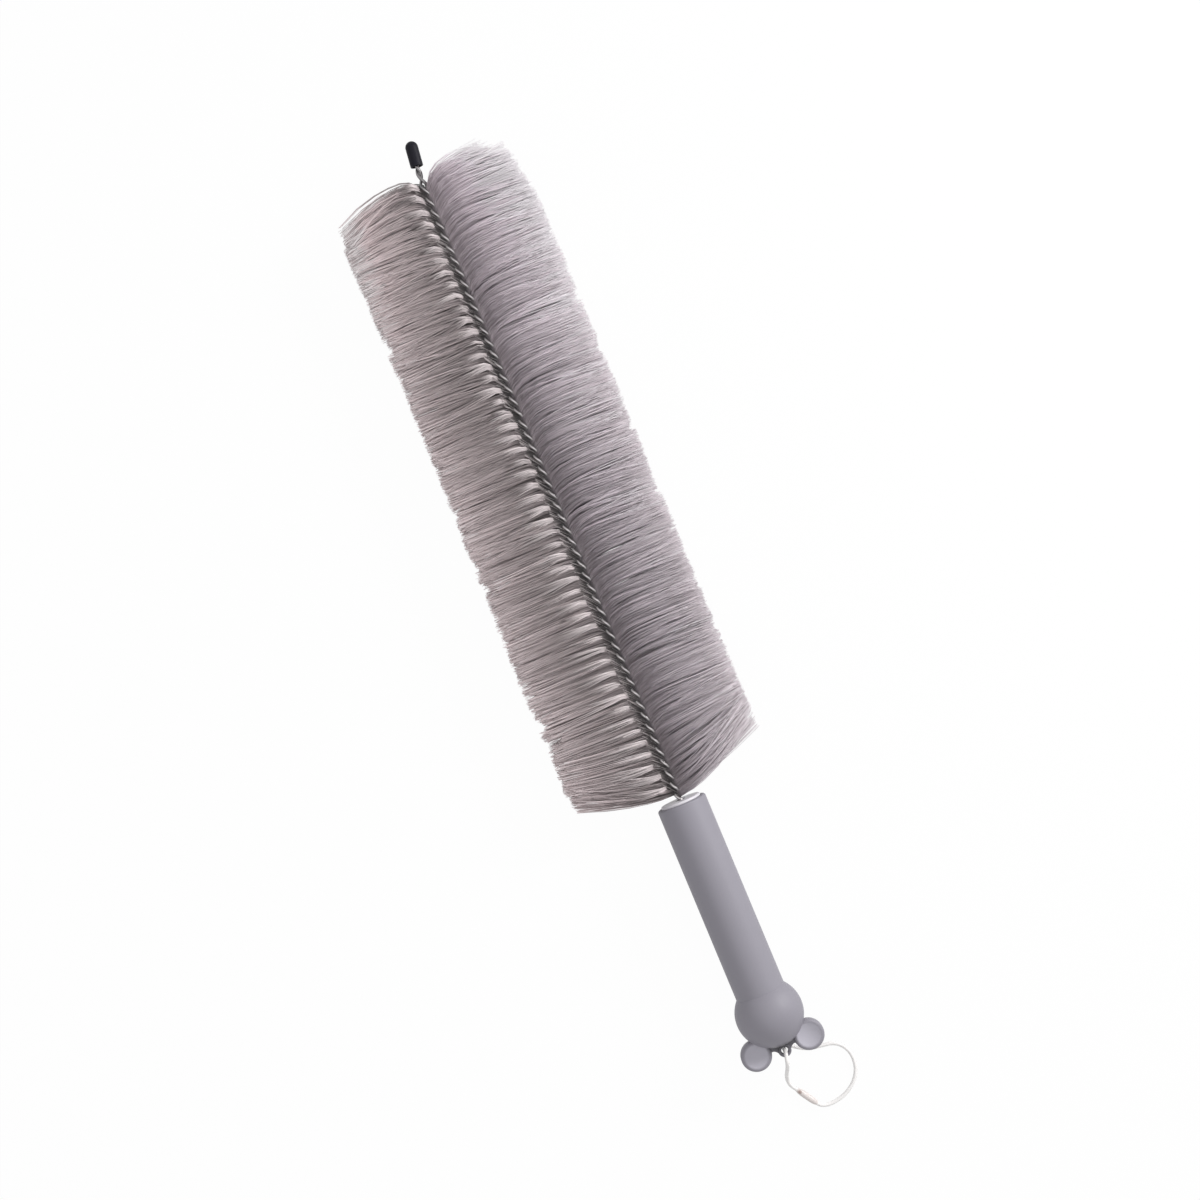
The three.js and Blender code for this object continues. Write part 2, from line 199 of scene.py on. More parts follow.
# The grain is given as its scale to the metre, its depth in metres and how much it mottles the colour
def surfaceMaterial(name, look):
    material, tree = newMaterial(name)
    shader = tree.nodes["Principled BSDF"]
    scale, depth, mottle = look["grain"]
    grain = put(tree, "ShaderNodeGroup", node_tree=surfaceGrain)
    grain.inputs["Colour"].default_value = (*look["colour"], 1)
    amounts = {"Roughness": look["roughness"], "Scale": scale, "Depth": depth, "Mottle": mottle}
    for label, value in amounts.items():
        grain.inputs[label].default_value = value
    join(tree, shader.inputs["Base Color"], grain.outputs["Colour"])
    join(tree, shader.inputs["Roughness"], grain.outputs["Roughness"])
    join(tree, shader.inputs["Normal"], grain.outputs["Normal"])
    shader.inputs["Metallic"].default_value = look.get("metallic", 0)
    shader.inputs["Specular IOR Level"].default_value = look.get("specular", 0.5)
    return material


# Blends a material towards another colour round a point, by its strength within one distance and not at all
# beyond another
def addSpot(material, place, look):
    tree = material.node_tree
    base = tree.nodes["Principled BSDF"].inputs["Base Color"]
    around = base.links[0].from_socket
    spot = tree.nodes.new("ShaderNodeTexCoord").outputs["Object"]
    away = put(tree, "ShaderNodeVectorMath", spot, place, operation="DISTANCE").outputs["Value"]
    mask = put(tree, "ShaderNodeMapRange", away, look["within"], look["beyond"], look["strength"], 0)
    join(tree, base, mixColours(tree, mask.outputs[0], around, (*look["colour"], 1)))


# Meshes
def meshObject(name, mesh, material):
    piece = bpy.data.objects.new(name, mesh)
    bpy.context.collection.objects.link(piece)
    mesh.materials.clear()
    mesh.materials.append(material)
    return piece


def smoothMesh(name, build, sharpAngle=40):
    build.normal_update()
    mesh = bpy.data.meshes.new(name)
    build.to_mesh(mesh)
    build.free()
    mesh.shade_smooth()
    mesh.set_sharp_from_angle(angle=math.radians(sharpAngle))
    return mesh


def arc(centreX, centreY, radius, fromAngle, toAngle, steps=10):
    points = []
    for step in range(steps + 1):
        angle = math.radians(fromAngle + (toAngle - fromAngle) * step / steps)
        points.append((centreX + radius * math.cos(angle), centreY + radius * math.sin(angle)))
    return points


# Turns a profile of (radius, along) pairs about the local Z axis of place
def revolve(build, profile, place, sides, closed=False):
    onAxis = 1e-7
    rings = []
    for radius, along in profile:
        if radius < onAxis:
            rings.append([build.verts.new(place @ Vector((0, 0, along)))])
            continue
        ring = []
        for side in range(sides):
            angle = 2 * math.pi * side / sides
            point = Vector((radius * math.cos(angle), radius * math.sin(angle), along))
            ring.append(build.verts.new(place @ point))
        rings.append(ring)
    pairs = list(zip(rings, rings[1:]))
    if closed:
        pairs.append((rings[-1], rings[0]))
    for lower, upper in pairs:
        for side in range(sides):
            after = (side + 1) % sides
            if len(lower) == 1:
                build.faces.new((lower[0], upper[after], upper[side]))
            elif len(upper) == 1:
                build.faces.new((lower[side], lower[after], upper[0]))
            else:
                build.faces.new((lower[side], lower[after], upper[after], upper[side]))


def facing(point, direction):
    turn = Vector((0, 0, 1)).rotation_difference(Vector(direction)).to_matrix().to_4x4()
    return Matrix.Translation(point) @ turn


# Hanging cord, along the route that the CAD part takes
cordLook = {
    "colour": (0.9, 0.88, 0.87),
    "roughness": 0.45,
    "grain": (6000, 0.00004, 0.05),
    "radius": 0.001,
    "bevelSteps": 4,
    "length": 0.1402,
    "exit": (0, -0.0033, 0.0155),
}
sleeveLook = {
    "colour": (0.74, 0.68, 0.66),
    "roughness": 0.35,
    "grain": (3000, 0.00003, 0.05),
    "mark": {"colour": (0.3, 0.2, 0.17), "within": 0.0006, "beyond": 0.0014, "strength": 0.8},
    "middle": (0.0014, -0.0292),
    "heading": (0.55, -0.835),
    "length": 0.012,
    "bore": 0.0013,
    "wall": 0.00035,
    "height": 0.00175,
    "overlap": 0.0001,
    "markFromEnd": 0.0015,
    "steps": 24,
    "sides": 32,
}


def inSleeve(distance):
    x, y = sleeveLook["middle"]
    turnX, turnY = sleeveLook["heading"]
    return (x + distance * turnX, y + distance * turnY, sleeveLook["height"])


# Sideways from the eye, along from the eye, and up from the base
cordRoute = [
    inSleeve(-0.0003),
    inSleeve(-0.003),
    inSleeve(-0.006),
    (-0.0039, -0.0209, 0.0019),
    (-0.0044, -0.0176, 0.0034),
    (-0.0039, -0.0144, 0.0076),
    (-0.0031, -0.0114, 0.0134),
    (-0.0023, -0.0087, 0.0186),
    (-0.0016, -0.0064, 0.0220),
    (-0.0009, -0.0038, 0.0234),
    (-0.0002, -0.0011, 0.0222),
    (0.0, 0.0, 0.0196),
    (0.0, 0.0, 0.0170),
    (0.0, 0.0, 0.0136),
    (0.0001, -0.0001, 0.0090),
    (0.0006, -0.0005, 0.0050),
    (0.0018, -0.0014, 0.0025),
    (0.0038, -0.0029, 0.0013),
    (0.0063, -0.0048, 0.0011),
    (0.0093, -0.0066, 0.0011),
    (0.0127, -0.0079, 0.0011),
    (0.0166, -0.0085, 0.0011),
    (0.0198, -0.0090, 0.0011),
    (0.0229, -0.0097, 0.0011),
    (0.0257, -0.0112, 0.0011),
    (0.0281, -0.0138, 0.0011),
    (0.0296, -0.0172, 0.0011),
    (0.0300, -0.0209, 0.0011),
    (0.0294, -0.0248, 0.0011),
    (0.0279, -0.0283, 0.0011),
    (0.0255, -0.0314, 0.0011),
    (0.0222, -0.0340, 0.0011),
    (0.0182, -0.0359, 0.0011),
    (0.0139, -0.0369, 0.0012),
    (0.0098, -0.0370, 0.0014),
    (0.0066, -0.0360, 0.0017),
    inSleeve(0.006),
    inSleeve(0.003),
    inSleeve(0.0003),
]


def smoothLine(points, steps=6):
    line = [Vector(point) for point in points]
    padded = [2 * line[0] - line[1], *line, 2 * line[-1] - line[-2]]
    smooth = []
    for before, start, end, after in zip(padded, padded[1:], padded[2:], padded[3:]):
        for step in range(steps):
            t = step / steps
            smooth.append(
                0.5
                * (
                    2 * start
                    + (end - before) * t
                    + (2 * before - 5 * start + 4 * end - after) * t**2
                    + (3 * start - before - 3 * end + after) * t**3
                )
            )
    return [*smooth, line[-1]]


def makeCord(look):
    line = smoothLine(cordRoute)
    curve = bpy.data.curves.new("cordCurve", "CURVE")
    curve.dimensions = "3D"
    curve.bevel_depth = look["radius"]
    curve.bevel_resolution = look["bevelSteps"]
    curve.use_fill_caps = True
    spline = curve.splines.new("POLY")
    spline.points.add(len(line) - 1)
    for spot, point in zip(spline.points, line):
        spot.co = (point.x, stem["eye"] + point.y, point.z, 1)
    spline.use_smooth = True
    cord = bpy.data.objects.new("cord", curve)
    bpy.context.collection.objects.link(cord)
    curve.materials.append(surfaceMaterial("cordWhite", look))
    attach(cord, "hang_loop")
    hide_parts("hang_cord")
    return cord


# The sleeve swells smoothly from the cord, as a fused joint does, with a small scorch mark at its upper end
def makeSleeve(look):
    x, y = look["middle"]
    place = facing((x, stem["eye"] + y, look["height"]), (*look["heading"], 0))
    half = look["length"] / 2
    outer = look["bore"] + look["wall"]
    slim = cordLook["radius"]
    steps = look["steps"]
    swell = [(2 * step / steps - 1) for step in range(steps + 1)]
    profile = [(slim - look["overlap"], -half)]
    profile += [(slim + (outer - slim) * (1 - share**4), share * half) for share in swell]
    profile.append((slim - look["overlap"], half))
    build = bmesh.new()
    revolve(build, profile, place, look["sides"], closed=True)
    milky = surfaceMaterial("sleeveMilky", look)
    mark = place @ Vector((0, 0, look["markFromEnd"] - half)) + Vector((0, 0, outer))
    addSpot(milky, mark, look["mark"])
    sleeve = meshObject("cordSleeve", smoothMesh("cordSleeve", build), milky)
    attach(sleeve, "hang_loop")
    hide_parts("cord_sleeve")
    return sleeve


cord = makeCord(cordLook)
sleeve = makeSleeve(sleeveLook)
print("cord and sleeve made")

# Grip tube
gripLook = {
    "colour": (0.262, 0.25, 0.287),
    "roughness": 0.55,
    "grain": (2500, 0.00003, 0.03),
    "radius": 0.0125,
    "wall": 0.002,
    "length": 0.1002,
    "seam": 0.0003,
    "rounding": 0.0012,
    "sides": 128,
}
alongStem = facing(onStem(0, 0, 0), (0, 1, 0))


def makeGrip(look):
    radius, rounding = look["radius"], look["rounding"]
    bore = radius - look["wall"]
    profile = [
        (bore, -look["length"] - look["seam"]),
        (radius, -look["length"] - look["seam"]),
        *arc(radius - rounding, -rounding, rounding, 0, 90),
        (bore, 0),
    ]
    build = bmesh.new()
    revolve(build, profile, alongStem, look["sides"], closed=True)
    grip = meshObject("gripSkin", smoothMesh("gripSkin", build), surfaceMaterial("gripPlastic", look))
    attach(grip, "handle")
    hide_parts("grip_tube")


makeGrip(gripLook)
print("grip made")

# End knob: ball, two dished discs, web and hanging lug
knobLook = {
    "centre": -0.112022,
    "radius": 0.017,
    "seat": 0.011522,
    "spigot": 0.0102,
    "spigotLength": 0.012,
    "sides": 128,
    "discRadius": 0.0077,
    "discHalf": 0.003,
    "discRounding": 0.0014,
    "dishRadius": 0.0062,
    "dishDepth": 0.0014,
    "discAcross": 0.013896,
    "discAlong": -0.128819,
    "discSides": 72,
    "lugRadius": 0.0033,
    "eyeRadius": 0.0017,
    "lugHalf": 0.0015,
    "lugRounding": 0.0006,
    "lugSides": 48,
    "webHalf": 0.0011,
    "webArch": 0.002,
    "webSteps": 16,
    # painted light: the dishes of the discs are coloured paler, as if more light fell on them
    "paintedLight": {"colour": (0.44, 0.425, 0.48), "within": 0.0056, "beyond": 0.0066, "strength": 1},
    # painted shade: a near black spot on the web under the ball, between the discs and the lug
    "paintedShade": {"colour": (0.05, 0.047, 0.054), "within": 0.004, "beyond": 0.009, "strength": 0.9},
    "paintedShadeAlong": -0.127,
}


def addDisc(build, look, side):
    half, rounding = look["discHalf"], look["discRounding"]
    rim = look["discRadius"] - rounding
    curve = (look["dishRadius"] ** 2 + look["dishDepth"] ** 2) / (2 * look["dishDepth"])
    dishAngle = math.degrees(math.asin(look["dishRadius"] / curve))
    profile = [
        (0, -half),
        *arc(rim, rounding - half, rounding, -90, 0),
        *arc(rim, half - rounding, rounding, 0, 90),
        *arc(0, half - look["dishDepth"] + curve, curve, dishAngle - 90, -90),
    ]
    profile[-1] = (0, profile[-1][1])
    place = Matrix.Translation(onStem(side * look["discAcross"], look["discAlong"], 0))
    revolve(build, profile, place, look["discSides"])


def addLug(build, look, eyeAlong):
    rounding = look["lugRounding"]
    outer, inner, half = look["lugRadius"], look["eyeRadius"], look["lugHalf"]
    profile = [
        *arc(outer - rounding, rounding - half, rounding, -90, 0, steps=5),
        *arc(outer - rounding, half - rounding, rounding, 0, 90, steps=5),
        *arc(inner + rounding, half - rounding, rounding, 90, 180, steps=5),
        *arc(inner + rounding, rounding - half, rounding, 180, 270, steps=5),
    ]
    place = Matrix.Translation(onStem(0, eyeAlong, 0))
    revolve(build, profile, place, look["lugSides"], closed=True)


# One half of the web, which ends inside the ring of the lug
def addWeb(build, look, eyeAlong, side):
    diagonal = look["discRadius"] / 2
    lugSide = look["lugRadius"] * math.sqrt(0.5)
    start = Vector((diagonal - look["discAcross"], look["discAlong"] - diagonal))
    end = Vector((-lugSide, eyeAlong - lugSide))
    archAcross = (look["discAcross"] - look["discRadius"] + look["lugRadius"]) / 2
    control = Vector((-archAcross, look["centre"] - look["radius"] + look["webArch"]))
    edge = []
    for step in range(look["webSteps"] + 1):
        t = step / look["webSteps"]
        edge.append((1 - t) ** 2 * start + 2 * t * (1 - t) * control + t**2 * end)
    inRing = (look["lugRadius"] + look["eyeRadius"]) / 2
    shape = [
        (0, look["centre"] - look["radius"] / 2),
        (-look["discAcross"], look["discAlong"]),
        *[(point.x, point.y) for point in edge],
        *arc(0, eyeAlong, inRing, 225, 90, steps=12),
    ]
    half = look["webHalf"]
    lower = [build.verts.new(onStem(-side * x, along, -half)) for x, along in shape]
    upper = [build.verts.new(onStem(-side * x, along, half)) for x, along in shape]
    faces = [lower[::-1], upper]
    for i in range(len(shape)):
        after = (i + 1) % len(shape)
        faces.append((lower[i], lower[after], upper[after], upper[i]))
    for corners in faces:
        build.faces.new(corners if side < 0 else corners[::-1])


def makeKnob(look):
    seatAngle = math.degrees(math.asin(look["seat"] / look["radius"]))
    eyeAlong = stem["eye"] - stem["mouth"]
    profile = [
        *arc(0, 0, look["radius"], -90, seatAngle, steps=60),
        (look["spigot"], look["seat"]),
        (look["spigot"], look["seat"] + look["spigotLength"]),
        (0, look["seat"] + look["spigotLength"]),
    ]
    profile[0] = (0, -look["radius"])
    build = bmesh.new()
    revolve(build, profile, facing(onStem(0, look["centre"], 0), (0, 1, 0)), look["sides"])
    plastic = surfaceMaterial("knobPlastic", gripLook)
    # Painted shade on the web under the ball, between the discs and the lug
    addSpot(plastic, onStem(0, look["paintedShadeAlong"], look["lugHalf"]), look["paintedShade"])
    for side in (-1, 1):
        addDisc(build, look, side)
        addWeb(build, look, eyeAlong, side)
        # Painted light: each disc's dish is coloured paler
        dish = look["discHalf"] - look["dishDepth"]
        addSpot(plastic, onStem(side * look["discAcross"], look["discAlong"], dish), look["paintedLight"])
    addLug(build, look, eyeAlong)
    knob = meshObject("knobSkin", smoothMesh("knobSkin", build), plastic)
    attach(knob, "handle")
    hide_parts("end_knob")


makeKnob(knobLook)
print("knob made")

# Plug in the mouth of the grip
plugLook = {
    "colour": (0.72, 0.7, 0.74),
    "roughness": 0.4,
    "grain": (3000, 0.00003, 0.04),
    "radius": 0.0102,
    "bore": 0.0025,
    "proud": 0.0012,
    "length": 0.0192,
    "rounding": 0.0006,
    "sides": 96,
}


def makePlug(look):
    radius, rounding, proud = look["radius"], look["rounding"], look["proud"]
    profile = [
        (look["bore"], proud - look["length"]),
        (radius, proud - look["length"]),
        *arc(radius - rounding, proud - rounding, rounding, 0, 90, steps=6),
        (look["bore"], proud),
    ]
    build = bmesh.new()
    revolve(build, profile, alongStem, look["sides"], closed=True)
    plug = meshObject("plugSkin", smoothMesh("plugSkin", build), surfaceMaterial("plugPlastic", look))
    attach(plug, "handle")
    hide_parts("stem_plug")


makePlug(plugLook)
print("plug made")

# Rubber cap on the tip, along the lean of the stem's bare end
capLook = {
    "colour": (0.009, 0.0085, 0.014),
    "roughness": 0.5,
    "grain": (4000, 0.00004, 0.2),
    "specular": 0.15,
    "length": 0.0128,
    "radius": 0.00315,
    "bore": 0.0025,
    "boreDepth": 0.004,
    "rim": 0.0003,
    "sides": 64,
}


def makeCap(look):
    lean = stem["tipLean"]
    bend = stem["tipBare"] / lean
    start = onStem(bend * (1 - math.cos(lean)), stem["brushTo"] + bend * math.sin(lean), 0)
    radius, rim = look["radius"], look["rim"]
    profile = [
        (look["bore"], look["boreDepth"]),
        (look["bore"], 0),
        *arc(radius - rim, rim, rim, -90, 0, steps=4),
        *arc(0, look["length"] - radius, radius, 0, 90, steps=16),
    ]
    profile[-1] = (0, look["length"])
    build = bmesh.new()
    revolve(build, profile, facing(start, (math.sin(lean), math.cos(lean), 0)), look["sides"])
    cap = meshObject("capSkin", smoothMesh("capSkin", build), surfaceMaterial("capRubber", look))
    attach(cap, "brush_4")
    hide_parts("tip_cap")


makeCap(capLook)
print("cap made")


# Geometry Nodes
def newTree(name, sockets):
    tree = bpy.data.node_groups.new(name, "GeometryNodeTree")
    tree.interface.new_socket("Geometry", in_out="OUTPUT", socket_type="NodeSocketGeometry")
    for label, kind in sockets:
        tree.interface.new_socket(label, in_out="INPUT", socket_type="NodeSocket" + kind)
    return tree


def runTree(name, tree, values):
    piece = bpy.data.objects.new(name, bpy.data.meshes.new(name))
    bpy.context.collection.objects.link(piece)
    modifier = piece.modifiers.new("nodes", "NODES")
    modifier.node_group = tree
    for socket in tree.interface.items_tree:
        if socket.in_out == "INPUT":
            modifier[socket.identifier] = values[socket.name]
    graph = bpy.context.evaluated_depsgraph_get()
    mesh = bpy.data.meshes.new_from_object(piece.evaluated_get(graph), depsgraph=graph)
    piece.modifiers.remove(modifier)
    piece.data = mesh
    return piece


# The stem is drawn in five parts that meet in the middle of a CAD length
def stemParts(first, last):
    half = (joints[1] - joints[0]) / 2
    cuts = [joints[0] - half, *[joint + half for joint in joints]]
    cuts = [cut - stem["mouth"] for cut in cuts]
    return list(zip([first, *cuts], [*cuts, last]))


# Numbers of the CAD lengths that a part covers
def cadLengths(index):
    return sorted({min(max(index, 1), len(bodies)), min(index + 1, len(bodies))})


def rideStem(piece, index):
    if index in (0, len(joints) + 1):
        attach(piece, bodies[0] if index == 0 else bodies[-1])
        return
    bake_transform(piece)


def ringCurve(tree, look):
    ring = put(tree, "GeometryNodeCurvePrimitiveCircle", look["sides"])
    ring.inputs["Radius"].default_value = look["radius"]
    return ring.outputs[0]


# Smooths a mesh, gives it its material and makes it the result of the tree
def deliver(tree, mesh, material):
    smooth = put(tree, "GeometryNodeSetShadeSmooth", mesh).outputs[0]
    real = put(tree, "GeometryNodeRealizeInstances", smooth).outputs[0]
    done = put(tree, "GeometryNodeSetMaterial", real, None, material).outputs[0]
    put(tree, "NodeGroupOutput", done)


# Twisted wires
wireLook = {
    "colour": (0.42, 0.4, 0.4),
    "roughness": 0.32,
    "grain": (4000, 0.00003, 0.25),
    "metallic": 1,
    "radius": 0.0008,
    "helix": 0.0014,
    "bareHelix": 0.00083,
    "bareFade": 0.004,
    "bare": {"colour": (0.24, 0.23, 0.235), "within": 0.006, "beyond": 0.009, "strength": 1},
    "stepsInTurn": 24,
    "sides": 10,
    "from": -0.0168,
    "to": 0.3469,
    "bend": 0.022,
}


def wireTree(look):
    inputs = [("From", "Float"), ("To", "Float"), ("Steps", "Int"), ("Material", "Material")]
    tree = newTree("twistedWires", inputs)
    given = tree.nodes.new("NodeGroupInput").outputs

    calc = Sums(tree).calc
    index = put(tree, "GeometryNodeInputIndex").outputs[0]
    strand = calc("FLOOR", calc("DIVIDE", index, given["Steps"]))
    step = calc("SUBTRACT", index, calc("MULTIPLY", strand, given["Steps"]))
    share = calc("DIVIDE", step, calc("SUBTRACT", given["Steps"], 1))
    along = put(tree, "ShaderNodeMapRange", share, 0, 1, given["From"], given["To"]).outputs[0]
    angle = calc("MULTIPLY", calc("SUBTRACT", along, stem["brushFrom"]), 2 * math.pi / stem["pitch"])
    angle = calc("MULTIPLY_ADD", strand, math.pi, angle)
    bare = stem["brushTo"] + look["bareFade"]
    narrowing = (stem["brushTo"], bare, look["helix"], look["bareHelix"])
    helix = put(tree, "ShaderNodeMapRange", along, *narrowing).outputs[0]
    across = calc("MULTIPLY", calc("COSINE", angle), helix)
    up = calc("MULTIPLY_ADD", calc("SINE", angle), helix, stem["height"])

    # The bare tip curves towards its lean
    lean = stem["tipLean"]
    bend = stem["tipBare"] / lean
    past = calc("SUBTRACT", along, stem["brushTo"])
    turned = calc("MINIMUM", calc("MAXIMUM", calc("DIVIDE", past, bend), 0), lean)
    sine, cosine = calc("SINE", turned), calc("COSINE", turned)
    beyond = calc("MAXIMUM", calc("SUBTRACT", past, stem["tipBare"]), 0)
    straight = calc("ADD", calc("MINIMUM", past, 0), beyond)
    x = calc("MULTIPLY", calc("SUBTRACT", 1, cosine), bend)
    x = calc("MULTIPLY_ADD", straight, sine, calc("MULTIPLY_ADD", across, cosine, x))
    y = calc("MULTIPLY_ADD", sine, bend, stem["mouth"] + stem["brushTo"])
    y = calc("MULTIPLY_ADD", straight, cosine, calc("SUBTRACT", y, calc("MULTIPLY", across, sine)))

    place = put(tree, "ShaderNodeCombineXYZ", x, y, up).outputs[0]
    points = put(tree, "GeometryNodePoints", calc("MULTIPLY", given["Steps"], 2), place).outputs[0]
    curves = put(tree, "GeometryNodePointsToCurves", points, strand, step).outputs[0]
    tube = put(tree, "GeometryNodeCurveToMesh", curves, ringCurve(tree, look), None, True).outputs[0]
    deliver(tree, tube, given["Material"])
    return tree


def makeWires(look):
    tree = wireTree(look)
    steel = surfaceMaterial("stemSteel", look)
    addSpot(steel, onStem(0, stem["brushTo"] + stem["tipBare"] / 2, 0), look["bare"])
    for index, (start, end) in enumerate(stemParts(look["from"], look["to"])):
        steps = round(look["stepsInTurn"] * (end - start) / stem["pitch"])
        values = {"From": start, "To": end, "Steps": steps, "Material": steel}
        wires = runTree(f"stemWires{index + 1}", tree, values)
        rideStem(wires, index)
        lengths = cadLengths(index)
        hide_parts(*[f"stem_wire_{letter}_{length}" for letter in "ab" for length in lengths])


makeWires(wireLook)
print("wires made")

# Bristles: fine filaments gripped between the wires and combed into two wings. A clump and a lock are
# counts of neighbouring strands that share random amounts, and a tuft is what leaves a half turn of wires.
bristleLook = {
    "strandsInMetre": 52000,
    "clump": 2,
    "lock": 90,
    "points": 8,
    "spacing": 2,
    "radius": 0.00017,
    "tipScale": 0.8,
    "core": 0.0009,
    "from": -0.0003,
    "clear": 0.042,
    "ridge": 0.7,
    "wedgeRise": 0.065,
    "wedgeCrest": 0.86,
    "wedgeFan": 0.25,
    "wedgeFanWidth": 0.22,
    "crest": 0.016,
    "sides": 3,
    "bend": 0.03,
    "seedStep": 100,
    "roughness": 0.33,
    # The wedge colour is a painted highlight along the first part of each wedge strand, dimmed from column
    # to column
    "wedge": (0.86, 0.775, 0.78),
    "wedgeHighlightDim": 0.62,
    "wedgeHighlightFade": 0.5,
    "wedgeShade": 0.95,
    "shade": (0.6, 1.5),
    "glint": 0.7,
    "glintRarity": 8,
}

# The colour map has its columns side by side: field strands in the first ones, wedges in the rest
colourMap = {
    "columns": 64,
    "fieldTo": 0.749,
    "wedgeFrom": 0.75,
    "last": 0.999,
    "cornerFrom": 0.2,
    "cornerStep": 0.3,
    "rootAt": 0.01,
    "tipAt": 0.99,
}

# Lowest and highest of what differs from strand to strand, clump to clump, lock to lock or tuft to tuft
bristleSpread = {
    "tuftWedge": (0.55, 1.3),
    "clumpFace": (-0.7, 1),
    "tuftWidth": (0.221, 0.425),
    "strandShort": (0, 0.03),
    "tuftScallop": (0.1, 0.9),
    "tuftRoot": (0.85, 1.25),
    "tuftCalm": (0.6, 1.5),
    "strandLean": (0.7, 1.2),
    "strandFray": (-0.0014, 0.0014),
    "clumpWave": (-0.0025, 0.0025),
    "tuftHeight": (0.8, 1.05),
    "strandHeight": (0.75, 1.08),
    "tuftEven": (0.6, 1.2),
    "clumpFlutter": (-0.002, 0.002),
    "strandFlutter": (-0.0006, 0.0006),
    "clumpTone": (-0.17, 0.17),
    "lockTone": (-0.08, 0.08),
    "tuftLength": (0.45, 1.25),
    "clumpLength": (-0.09, 0.09),
    "strandThickness": (0.7, 1.5),
}
leftWing = {
    "name": "Left",
    "side": -1,
    "seed": 3,
    "brightest": (0.95, 0.895, 0.9),
    "values": {
        "Reach Near": 0.052,
        "Reach Far": 0.049,
        "Ragged": 0.15,
        "Scallop": 0.08,
        "Corner": 0.04,
        "Wedge": 0.26,
        "Wedge Highlight Near": 0.7,
        "Wedge Highlight Far": 0.23,
        "Root Near": 0.0042,
        "Root Far": 0.0026,
        "Field": 0.72,
        "Lean": 0.002,
        "Lean Fade": 0.05,
        "Rise": 0.2,
        "Fall": 0.5,
        "Even From": 0.1,
        "Even Near": 0.8,
        "Even Far": 0.4,
        "Root Lean": 0.0132,
        "Dome Rise": 0.004,
        "Dome Drop": 0.0145,
        "Wisp": 0.002,
        "Loose Near": 0.0014,
        "Loose Far": 0.0035,
        "Weak Tuft": 0.72,
        "Tone From": 0.24,
        "Tone Near": 0.33,
        "Tone Far": 0.98,
    },
    # Stops: near black at the root as painted shade round the wires, paler towards the tip as painted light
    "stops": [
        (0, (0.02, 0.018, 0.018)),
        (0.07, (0.08, 0.07, 0.07)),
        (0.13, (0.26, 0.224, 0.227)),
        (0.25, (0.35, 0.3, 0.304)),
        (0.75, (0.64, 0.55, 0.557)),
        (1, (0.88, 0.77, 0.777)),
    ],
}
rightWing = {
    "name": "Right",
    "side": 1,
    "seed": 11,
    "brightest": (0.95, 0.915, 0.94),
    "values": {
        "Reach Near": 0.05,
        "Reach Far": 0.0505,
        "Ragged": 0.18,
        "Scallop": 0,
        "Corner": 0.3,
        "Wedge": 0,
        "Wedge Highlight Near": 0.5,
        "Wedge Highlight Far": 0.5,
        "Root Near": 0.0017,
        "Root Far": 0.0017,
        "Field": 0.9,
        "Lean": 0.006,
        "Lean Fade": 0.1,
        "Rise": 0.16,
        "Fall": 0.5,
        "Even From": 0,
        "Even Near": 0.5,
        "Even Far": 0.5,
        "Root Lean": 0.022,
        "Dome Rise": 0.006,
        "Dome Drop": 0.004,
        "Wisp": 0.007,
        "Loose Near": 0.0024,
        "Loose Far": 0.003,
        "Weak Tuft": 1,
        "Tone From": 0.18,
        "Tone Near": 0.36,
        "Tone Far": 0.85,
    },
    # Stops: near black at the root as painted shade round the wires, paler towards the tip as painted light
    "stops": [
        (0, (0.02, 0.018, 0.019)),
        (0.035, (0.19, 0.167, 0.178)),
        (0.06, (0.43, 0.378, 0.405)),
        (0.12, (0.48, 0.424, 0.456)),
        (0.22, (0.565, 0.503, 0.541)),
        (0.6, (0.7, 0.636, 0.676)),
        (1, (0.88, 0.81, 0.845)),
    ],
}

# How the brush changes from the handle to the tip
outline = {
    "nearTo": 0.11,
    "farFrom": 0.2,
    "rootFade": 0.06,
    "sweepCurve": 1.5,
    "straightFrom": 0.5,
    "straightLean": 0.35,
    "looseAtHandle": 0.001,
    "domeFade": 0.04,
    "riseWithin": 0.3,
    "calmAtTip": 0.7,
    "cornerFade": 0.014,
    "straggle": 0.0014,
    "wispCurve": 1.5,
    "notchAt": 0.85,
}


